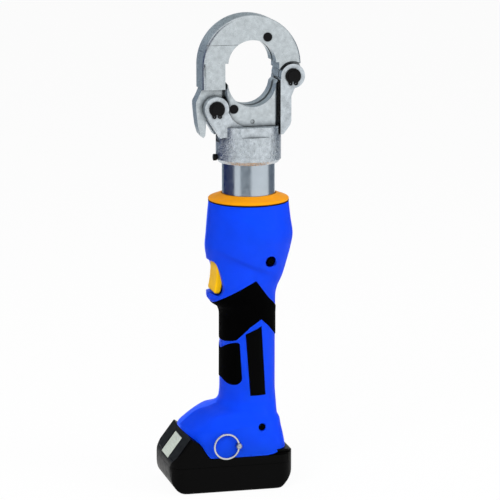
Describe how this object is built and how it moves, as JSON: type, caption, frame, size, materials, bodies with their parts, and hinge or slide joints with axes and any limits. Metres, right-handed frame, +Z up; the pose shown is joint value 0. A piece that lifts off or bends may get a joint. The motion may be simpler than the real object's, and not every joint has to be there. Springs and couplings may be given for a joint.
{
  "type": "hydraulic crimping tool",
  "caption": "Upright battery-powered hydraulic crimping tool with a swivelling C-head, flip-open jaw, side latch, ram-driven die seat, trigger grip and slide-on battery foot.",
  "frame": {"origin": "on the floor under the battery, on the ram cylinder's axis", "axes": "+Z up along the ram cylinder, -X to the trigger side, +Y to the tool's right side"},
  "size_m": [0.1286, 0.0827, 0.43],
  "materials": {
    "blue_plastic": "fine moulded grain, satin",
    "black_rubber": "soft-touch overmould, dull",
    "black_plastic": "moulded, fine grain",
    "grey_plastic": "moulded, satin",
    "yellow_plastic": "moulded, satin",
    "amber_plastic": "smooth, glossy",
    "plated_steel": "nickel-plated forging, bright satin",
    "bright_steel": "ground or drawn",
    "black_steel": "black oxide, oiled",
    "zinc_steel": "zinc plated",
    "spring_steel": "drawn wire",
    "cast_aluminium": "machined casting",
    "bronze": "turned",
    "contact_brass": "stamped, bright",
    "copper_wound": "enamelled winding on a laminated core",
    "magnet": "sintered",
    "board_green": "solder mask",
    "cell_wrap": "shrink sleeve",
    "lead_red": "insulated wire",
    "light_lens": "clear tinted lens"
  },
  "bodies": {
    "handle": {"housing_left": "blue_plastic", "housing_right": "blue_plastic", "soft_grip_left": "black_rubber", "soft_grip_right": "black_rubber", "label_plate": "black_plastic", "housing_screws": "black_steel", "status_light": "light_lens", "ring_stud": "zinc_steel", "terminal_block": "black_plastic", "terminal_blades": "contact_brass", "control_board": "board_green", "motor_leads": "lead_red", "motor_end_cap": "black_plastic", "motor_can": "zinc_steel", "motor_magnets": "magnet", "motor_bearings": "bright_steel", "ring_gear": "zinc_steel", "shaft_bearing": "bright_steel", "pump_block": "cast_aluminium", "plunger_spring": "spring_steel", "plunger_plug": "zinc_steel", "oil_bladder": "black_rubber", "cylinder_screws": "black_steel", "trigger_pin": "bright_steel", "trigger_spring": "spring_steel", "switch_body": "black_plastic", "collar_ring": "amber_plastic", "ram_cylinder": "bright_steel", "rod_guide": "bronze", "return_spring": "spring_steel"},
    "head": {"head_fork": "plated_steel", "rod_wiper": "black_rubber", "head_pins": "black_steel", "pin_circlips": "black_steel", "head_lock_screw": "black_steel"},
    "jaw": {"upper_jaw": "plated_steel"},
    "latch": {"side_latch": "plated_steel"},
    "ram": {"die_carrier": "plated_steel", "carrier_pin": "bright_steel", "ram_piston": "bright_steel", "piston_seal": "black_rubber"},
    "upper_button": {"upper_die_button": "black_steel"},
    "lower_button": {"lower_die_button": "black_steel"},
    "trigger_lever": {"trigger": "yellow_plastic"},
    "battery": {"battery_case": "black_plastic", "battery_cover": "black_plastic", "battery_cells": "cell_wrap", "battery_contacts": "contact_brass", "battery_button_spring": "spring_steel"},
    "release_button": {"battery_button": "grey_plastic"},
    "ring": {"carry_ring": "bright_steel"},
    "rotor": {"motor_rotor": "copper_wound", "sun_gear": "bright_steel"},
    "crank": {"eccentric_shaft": "bright_steel", "planet_pins": "bright_steel", "crank_bearing": "bright_steel"},
    "planet_1": {"planet_gear_1": "bright_steel"},
    "planet_2": {"planet_gear_2": "bright_steel"},
    "planet_3": {"planet_gear_3": "bright_steel"},
    "plunger": {"pump_plunger": "bright_steel"}
  },
  "joints": [
    {"name": "head_swivel", "type": "hinge", "parent": "handle", "child": "head", "pos_m": [0, 0, 0.31], "axis": [0, 0, 1], "range_deg": [-175, 175]},
    {"name": "jaw_swing", "type": "hinge", "parent": "head", "child": "jaw", "pos_m": [0.0368, 0, 0.375], "axis": [0, 1, 0], "range_deg": [0, 100]},
    {"name": "latch_swing", "type": "hinge", "parent": "head", "child": "latch", "pos_m": [-0.033, 0, 0.3474], "axis": [0, 1, 0], "range_deg": [-26, 0]},
    {"name": "ram_slide", "type": "slide", "parent": "head", "child": "ram", "axis": [0, 0, 1], "range_m": [0, 0.016], "deforming": ["return_spring"]},
    {"name": "upper_button_press", "type": "slide", "parent": "jaw", "child": "upper_button", "axis": [0, 1, 0], "range_m": [0, 0.002], "stiffness_N_per_m": 900, "springref_m": -0.001},
    {"name": "lower_button_press", "type": "slide", "parent": "ram", "child": "lower_button", "axis": [0, 1, 0], "range_m": [0, 0.002], "stiffness_N_per_m": 900, "springref_m": -0.001},
    {"name": "trigger_pull", "type": "hinge", "parent": "handle", "child": "trigger_lever", "pos_m": [-0.0295, 0, 0.2045], "axis": [0, 1, 0], "range_deg": [-9, 0], "stiffness_Nm_per_rad": 0.6, "springref_deg": 8.59, "deforming": ["trigger_spring"]},
    {"name": "battery_slide", "type": "slide", "parent": "handle", "child": "battery", "axis": [-1, 0, 0], "range_m": [0, 0.12]},
    {"name": "battery_button_press", "type": "slide", "parent": "battery", "child": "release_button", "axis": [0.7965, 0, -0.6046], "range_m": [0, 0.0025], "stiffness_N_per_m": 900, "springref_m": -0.001, "deforming": ["battery_button_spring"]},
    {"name": "carry_ring_swing", "type": "hinge", "parent": "handle", "child": "ring", "pos_m": [-0.0184, -0.03915, 0.043], "axis": [0, 0, 1], "range_deg": [0, 110]},
    {"name": "rotor_spin", "type": "hinge", "parent": "handle", "child": "rotor", "pos_m": [0, 0, 0.12], "axis": [0, 0, 1], "continuous": true},
    {"name": "crank_spin", "type": "hinge", "parent": "handle", "child": "crank", "pos_m": [0, 0, 0.17], "axis": [0, 0, 1], "continuous": true},
    {"name": "planet_1_spin", "type": "hinge", "parent": "crank", "child": "planet_1", "pos_m": [0.01073, 0, 0.15], "axis": [0, 0, 1], "continuous": true},
    {"name": "planet_2_spin", "type": "hinge", "parent": "crank", "child": "planet_2", "pos_m": [-0.00536, 0.00929, 0.15], "axis": [0, 0, 1], "continuous": true},
    {"name": "planet_3_spin", "type": "hinge", "parent": "crank", "child": "planet_3", "pos_m": [-0.00536, -0.00929, 0.15], "axis": [0, 0, 1], "continuous": true},
    {"name": "plunger_stroke", "type": "slide", "parent": "handle", "child": "plunger", "axis": [1, 0, 0], "range_m": [-0.0036, 0], "stiffness_N_per_m": 1200, "springref_m": -0.001, "deforming": ["plunger_spring"]}
  ],
  "couplings": [
    {"joint": "latch_swing", "follows": "jaw_swing", "ratio": -0.26},
    {"joint": "crank_spin", "follows": "rotor_spin", "ratio": 0.18182},
    {"joint": "planet_1_spin", "follows": "rotor_spin", "ratio": -0.46753},
    {"joint": "planet_2_spin", "follows": "rotor_spin", "ratio": -0.46753},
    {"joint": "planet_3_spin", "follows": "rotor_spin", "ratio": -0.46753}
  ]
}
